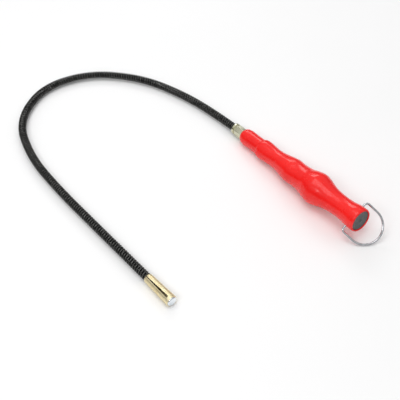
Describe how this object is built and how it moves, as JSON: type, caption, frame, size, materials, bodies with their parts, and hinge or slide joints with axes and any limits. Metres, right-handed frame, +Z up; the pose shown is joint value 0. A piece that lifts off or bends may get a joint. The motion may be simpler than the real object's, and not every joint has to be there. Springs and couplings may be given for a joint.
{
  "type": "flexible magnetic pick-up tool",
  "caption": "Workshop pick-up tool: contoured plastic grip with a hanging ring, a bendable gooseneck shaft and a magnet in a slit brass tip.",
  "frame": {"origin": "on the table under the middle of the tool's bounding box", "axes": "+X from the grip's butt to its nose, +Z up, +Y to the side the gooseneck bends to"},
  "size_m": [0.2828, 0.1606, 0.024],
  "materials": {
    "red_plastic": "glossy",
    "dark_plastic": "satin",
    "plated_steel": "satin",
    "inner_steel": "satin",
    "ring_steel": "polished",
    "black_steel": "satin",
    "brass": "polished",
    "bright_plate": "polished"
  },
  "bodies": {
    "handle": {"handle_grip": "red_plastic", "end_plug": "dark_plastic", "ferrule": "plated_steel", "neck_end_collar": "inner_steel", "neck_outer_wire_1": "black_steel", "neck_inner_wire_1": "black_steel"},
    "ring": {"hanging_ring": "ring_steel"},
    "neck_2": {"neck_outer_wire_2": "black_steel", "neck_inner_wire_2": "black_steel"},
    "neck_3": {"neck_outer_wire_3": "black_steel", "neck_inner_wire_3": "black_steel"},
    "neck_4": {"neck_outer_wire_4": "black_steel", "neck_inner_wire_4": "black_steel"},
    "neck_5": {"neck_outer_wire_5": "black_steel", "neck_inner_wire_5": "black_steel"},
    "neck_6": {"neck_outer_wire_6": "black_steel", "neck_inner_wire_6": "black_steel"},
    "neck_7": {"neck_outer_wire_7": "black_steel", "neck_inner_wire_7": "black_steel"},
    "neck_8": {"neck_outer_wire_8": "black_steel", "neck_inner_wire_8": "black_steel"},
    "neck_9": {"neck_outer_wire_9": "black_steel", "neck_inner_wire_9": "black_steel"},
    "neck_10": {"neck_outer_wire_10": "black_steel", "neck_inner_wire_10": "black_steel", "tip_sleeve": "brass", "magnet": "bright_plate"}
  },
  "joints": [
    {"name": "ring_swing", "type": "hinge", "parent": "handle", "child": "ring", "pos_m": [-0.12229, -0.06457, 0.01474], "axis": [-0.0352, 0.8829, -0.4681], "range_deg": [-111, 190]},
    {"name": "neck_turn_1", "type": "hinge", "parent": "handle", "child": "neck_2", "pos_m": [0.03549, -0.06263, 0.004], "axis": [0, 0, 1], "range_deg": [-30, 30]},
    {"name": "neck_lift_2", "type": "hinge", "parent": "neck_2", "child": "neck_3", "pos_m": [0.07922, -0.05244, 0.004], "axis": [0.3371, -0.9415, 0], "range_deg": [-30, 30]},
    {"name": "neck_turn_3", "type": "hinge", "parent": "neck_3", "child": "neck_4", "pos_m": [0.11749, -0.0295, 0.004], "axis": [0, 0, -1], "range_deg": [-30, 30]},
    {"name": "neck_lift_4", "type": "hinge", "parent": "neck_4", "child": "neck_5", "pos_m": [0.13702, 0.00458, 0.004], "axis": [0.9826, -0.1857, 0], "range_deg": [-30, 30]},
    {"name": "neck_turn_5", "type": "hinge", "parent": "neck_5", "child": "neck_6", "pos_m": [0.13043, 0.04288, 0.004], "axis": [0, 0, 1], "range_deg": [-30, 30]},
    {"name": "neck_lift_6", "type": "hinge", "parent": "neck_6", "child": "neck_7", "pos_m": [0.09478, 0.07024, 0.004], "axis": [0.2756, 0.9613, 0], "range_deg": [-30, 30]},
    {"name": "neck_turn_7", "type": "hinge", "parent": "neck_7", "child": "neck_8", "pos_m": [0.05146, 0.07714, 0.004], "axis": [0, 0, -1], "range_deg": [-30, 30]},
    {"name": "neck_lift_8", "type": "hinge", "parent": "neck_8", "child": "neck_9", "pos_m": [0.00747, 0.07666, 0.004], "axis": [-0.0436, 0.999, 0], "range_deg": [-30, 30]},
    {"name": "neck_turn_9", "type": "hinge", "parent": "neck_9", "child": "neck_10", "pos_m": [-0.03249, 0.07491, 0.004], "axis": [0, 0, 1], "range_deg": [-30, 30]}
  ]
}
